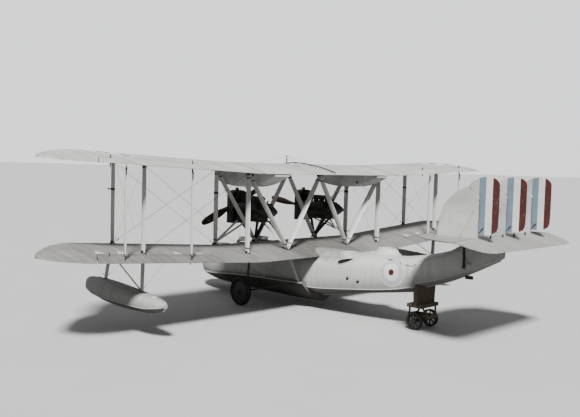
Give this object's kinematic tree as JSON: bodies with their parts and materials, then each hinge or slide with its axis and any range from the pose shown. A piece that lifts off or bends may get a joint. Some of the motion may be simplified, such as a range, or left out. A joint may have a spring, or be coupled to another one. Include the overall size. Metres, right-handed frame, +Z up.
{
  "type": "twin-engined biplane flying boat on beaching wheels",
  "caption": "Open-cockpit biplane flying boat with tractor engines between the wings, tip floats and triple fins, on beaching wheels and a tail trolley.",
  "frame": {"origin": "on the floor, below the middle of the whole boat's box", "axes": "+X forward to the bow, +Y to port, +Z up"},
  "size_m": [15.5916, 22.86, 5.87],
  "materials": {
    "hull_paint": "weathered matt pale grey paint",
    "wing_fabric": "silver-grey doped linen",
    "tail_fabric": "silver-grey doped linen",
    "strut_paint": "grey paint",
    "engine_metal": "black enamel with oil and grime",
    "radiator_metal": "black painted shell over a fine core",
    "tank_paint": "satin grey paint",
    "propeller_wood": "dark varnished laminations",
    "rudder_stripes": "doped linen in upright stripes of pale blue, white and dark red",
    "gear_iron": "dark painted steel, scuffed",
    "wheel_tyre": "worn black rubber on a painted disc"
  },
  "bodies": {
    "airframe": {"beaching_frame_port": "gear_iron", "beaching_frame_stbd": "gear_iron", "engine_mount_port": "strut_paint", "engine_mount_stbd": "strut_paint", "engine_port": "engine_metal", "engine_stbd": "engine_metal", "fin_centre": "tail_fabric", "fin_port": "tail_fabric", "fin_stbd": "tail_fabric", "float_port": "hull_paint", "float_stbd": "hull_paint", "float_struts_port": "strut_paint", "float_struts_stbd": "strut_paint", "fuel_tank_port": "tank_paint", "fuel_tank_stbd": "tank_paint", "hull": "hull_paint", "hull_strut_front_port": "strut_paint", "hull_strut_front_stbd": "strut_paint", "hull_strut_rear_port": "strut_paint", "hull_strut_rear_stbd": "strut_paint", "lower_centre_wing": "wing_fabric", "lower_wing_port": "wing_fabric", "lower_wing_stbd": "wing_fabric", "mast": "strut_paint", "outer_strut_front_port": "strut_paint", "outer_strut_front_stbd": "strut_paint", "outer_strut_rear_port": "strut_paint", "outer_strut_rear_stbd": "strut_paint", "planing_bottom": "hull_paint", "radiator_port": "radiator_metal", "radiator_stbd": "radiator_metal", "tail_struts_port": "strut_paint", "tail_struts_stbd": "strut_paint", "tail_trolley": "gear_iron", "tailplane": "tail_fabric", "truss_front": "strut_paint", "truss_rear": "strut_paint", "upper_centre_wing": "wing_fabric", "upper_wing_port": "wing_fabric", "upper_wing_stbd": "wing_fabric"},
    "aileron_lower_port": {"aileron_lower_port": "wing_fabric"},
    "aileron_upper_port": {"aileron_upper_port": "wing_fabric"},
    "aileron_links_port": {"aileron_link_inner_port": "strut_paint", "aileron_link_outer_port": "strut_paint"},
    "aileron_lower_stbd": {"aileron_lower_stbd": "wing_fabric"},
    "aileron_upper_stbd": {"aileron_upper_stbd": "wing_fabric"},
    "aileron_links_stbd": {"aileron_link_inner_stbd": "strut_paint", "aileron_link_outer_stbd": "strut_paint"},
    "rudder_centre": {"rudder_centre": "rudder_stripes"},
    "rudder_port": {"rudder_port": "rudder_stripes"},
    "rudder_stbd": {"rudder_stbd": "rudder_stripes"},
    "elevator": {"elevator": "tail_fabric"},
    "propeller_port": {"propeller_port": "propeller_wood"},
    "beaching_wheel_port": {"beaching_wheel_port": "wheel_tyre"},
    "propeller_stbd": {"propeller_stbd": "propeller_wood"},
    "beaching_wheel_stbd": {"beaching_wheel_stbd": "wheel_tyre"},
    "trolley_wheels": {"trolley_wheels": "gear_iron"}
  },
  "joints": [
    {"name": "aileron_lower_port", "type": "hinge", "parent": "airframe", "child": "aileron_lower_port", "pos_m": [0.82575, 5.37, 2.29687], "axis": [0, 0.9976, 0.0698], "range_deg": [-25, 25]},
    {"name": "aileron_upper_port", "type": "hinge", "parent": "airframe", "child": "aileron_upper_port", "pos_m": [0.82575, 5.37, 5.28633], "axis": [0, 0.9991, 0.0419], "range_deg": [-25, 25]},
    {"name": "aileron_links_port", "type": "hinge", "parent": "aileron_lower_port", "child": "aileron_links_port", "pos_m": [0.44575, 6.64, 2.39118], "axis": [0, 0.9976, 0.0698], "range_deg": [-25, 25]},
    {"name": "aileron_lower_stbd", "type": "hinge", "parent": "airframe", "child": "aileron_lower_stbd", "pos_m": [0.82575, -5.37, 2.29687], "axis": [0, 0.9976, -0.0698], "range_deg": [-25, 25]},
    {"name": "aileron_upper_stbd", "type": "hinge", "parent": "airframe", "child": "aileron_upper_stbd", "pos_m": [0.82575, -5.37, 5.28633], "axis": [0, 0.9991, -0.0419], "range_deg": [-25, 25]},
    {"name": "aileron_links_stbd", "type": "hinge", "parent": "aileron_lower_stbd", "child": "aileron_links_stbd", "pos_m": [0.44575, -6.64, 2.39118], "axis": [0, 0.9976, -0.0698], "range_deg": [-25, 25]},
    {"name": "rudder_centre", "type": "hinge", "parent": "airframe", "child": "rudder_centre", "pos_m": [-6.85425, 0, 3.54], "axis": [0, 0, 1], "range_deg": [-25, 25]},
    {"name": "rudder_port", "type": "hinge", "parent": "airframe", "child": "rudder_port", "pos_m": [-6.85425, 1.68, 3.54], "axis": [0, 0, 1], "range_deg": [-25, 25]},
    {"name": "rudder_stbd", "type": "hinge", "parent": "airframe", "child": "rudder_stbd", "pos_m": [-6.85425, -1.68, 3.54], "axis": [0, 0, 1], "range_deg": [-25, 25]},
    {"name": "elevator", "type": "hinge", "parent": "airframe", "child": "elevator", "pos_m": [-6.82425, 0, 3.37], "axis": [0, 1, 0], "range_deg": [-11, 29]},
    {"name": "propeller_port", "type": "hinge", "parent": "airframe", "child": "propeller_port", "pos_m": [3.92575, 1.9, 3.77], "axis": [1, 0, 0], "continuous": true},
    {"name": "beaching_wheel_port", "type": "hinge", "parent": "airframe", "child": "beaching_wheel_port", "pos_m": [2.99575, 2.21, 0.54], "axis": [0, 1, 0], "continuous": true},
    {"name": "propeller_stbd", "type": "hinge", "parent": "airframe", "child": "propeller_stbd", "pos_m": [3.92575, -1.9, 3.77], "axis": [1, 0, 0], "continuous": true},
    {"name": "beaching_wheel_stbd", "type": "hinge", "parent": "airframe", "child": "beaching_wheel_stbd", "pos_m": [2.99575, -2.21, 0.54], "axis": [0, 1, 0], "continuous": true},
    {"name": "trolley_wheels", "type": "hinge", "parent": "airframe", "child": "trolley_wheels", "pos_m": [-3.85425, 0, 0.3], "axis": [0, 1, 0], "continuous": true}
  ],
  "couplings": [
    {"joint": "aileron_upper_port", "follows": "aileron_lower_port", "ratio": 1},
    {"joint": "aileron_links_port", "follows": "aileron_lower_port", "ratio": -1},
    {"joint": "aileron_lower_stbd", "follows": "aileron_lower_port", "ratio": -1},
    {"joint": "aileron_upper_stbd", "follows": "aileron_lower_port", "ratio": -1},
    {"joint": "aileron_links_stbd", "follows": "aileron_lower_port", "ratio": 1},
    {"joint": "rudder_port", "follows": "rudder_centre", "ratio": 1},
    {"joint": "rudder_stbd", "follows": "rudder_centre", "ratio": 1}
  ]
}
